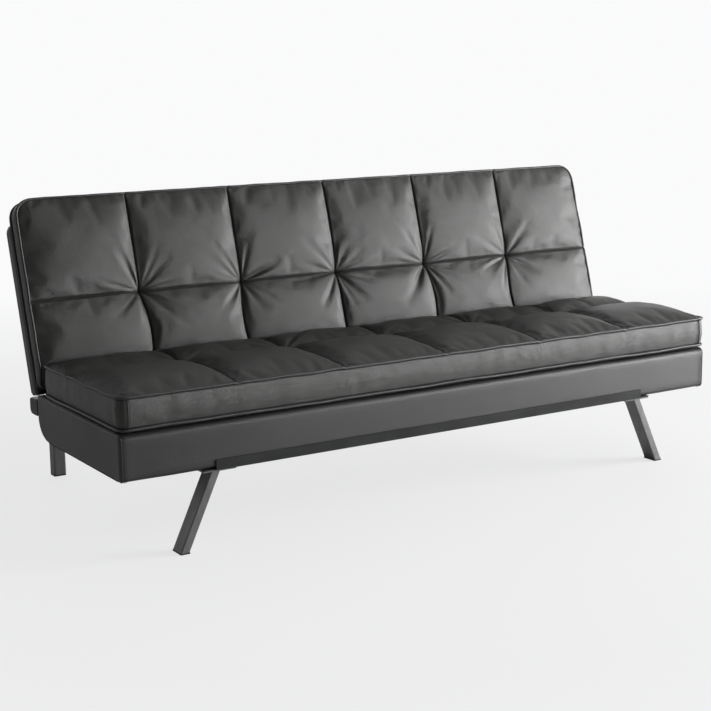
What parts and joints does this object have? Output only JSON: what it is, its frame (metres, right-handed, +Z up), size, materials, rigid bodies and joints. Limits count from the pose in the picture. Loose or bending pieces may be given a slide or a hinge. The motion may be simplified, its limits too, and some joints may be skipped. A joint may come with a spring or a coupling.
{
  "type": "sofa bed",
  "caption": "Click-clack futon sofa bed: tufted pads on wrapped frames, a reclining back on ratchet hinges, steel rail and splayed legs.",
  "frame": {"origin": "on the floor, at the centre of the footprint of the sofa with its back upright", "axes": "+Z up, +X along the sofa, -Y the way a sitter faces"},
  "size_m": [1.8, 0.86, 0.7905],
  "materials": {
    "frame_leather": "satin",
    "pad_leather": "satin",
    "foam": "matte",
    "dust_cloth": "matte",
    "timber": "matte",
    "black_plastic": "matte",
    "rubber": "matte",
    "rail_paint": "matte",
    "leg_paint": "satin",
    "zinc_steel": "satin"
  },
  "bodies": {
    "root": {"beam_end_caps": "black_plastic", "bed_rests": "rubber", "bracket_screws": "zinc_steel", "front_foot_glides": "black_plastic", "front_leg_left": "leg_paint", "front_leg_plates": "leg_paint", "front_leg_right": "leg_paint", "front_rail": "rail_paint", "hinge_bracket_left": "zinc_steel", "hinge_bracket_right": "zinc_steel", "pawl_pins": "zinc_steel", "pawl_spring_left": "zinc_steel", "pawl_spring_right": "zinc_steel", "pivot_bolts": "zinc_steel", "pivot_nuts": "zinc_steel", "rail_bolts": "zinc_steel", "rear_arm_left": "leg_paint", "rear_arm_right": "leg_paint", "rear_beam": "leg_paint", "rear_cross_rail": "leg_paint", "rear_foot_glides": "black_plastic", "rear_leg_left": "leg_paint", "rear_leg_right": "leg_paint", "seat_cover_front": "frame_leather", "seat_cover_left": "frame_leather", "seat_cover_rear": "frame_leather", "seat_cover_right": "frame_leather", "seat_cover_top": "frame_leather", "seat_cross_boards": "timber", "seat_deck_foam": "foam", "seat_dust_cover": "dust_cloth", "seat_front_board": "timber", "seat_front_cleat": "timber", "seat_pad_core": "foam", "seat_pad_cover": "pad_leather", "seat_rear_board": "timber", "seat_side_board_left": "timber", "seat_side_board_right": "timber", "seat_slats": "timber"},
    "back": {"arm_screws": "zinc_steel", "back_bottom_board": "timber", "back_cover_bottom": "frame_leather", "back_cover_front": "frame_leather", "back_cover_left": "frame_leather", "back_cover_rear": "frame_leather", "back_cover_right": "frame_leather", "back_cover_top": "frame_leather", "back_pad_core": "foam", "back_pad_cover": "pad_leather", "back_slats": "timber", "back_stiles": "timber", "back_top_board": "timber", "hinge_arm_left": "zinc_steel", "hinge_arm_right": "zinc_steel", "ratchet_left": "zinc_steel", "ratchet_right": "zinc_steel"},
    "pawl_left": {"pawl_left": "zinc_steel"},
    "pawl_right": {"pawl_right": "zinc_steel"}
  },
  "joints": [
    {"name": "back_recline", "type": "hinge", "parent": "root", "child": "back", "pos_m": [0, 0.1093, 0.324], "axis": [-1, 0, 0], "range_deg": [-4, 73]},
    {"name": "pawl_left_lift", "type": "hinge", "parent": "root", "child": "pawl_left", "pos_m": [-0.821, 0.141, 0.305], "axis": [-1, 0, 0], "range_deg": [0, 12], "stiffness_Nm_per_rad": 0.2, "springref_deg": -5.73, "deforming": ["pawl_spring_left"]},
    {"name": "pawl_right_lift", "type": "hinge", "parent": "root", "child": "pawl_right", "pos_m": [0.821, 0.141, 0.305], "axis": [-1, 0, 0], "range_deg": [0, 12], "stiffness_Nm_per_rad": 0.2, "springref_deg": -5.73, "deforming": ["pawl_spring_right"]}
  ]
}
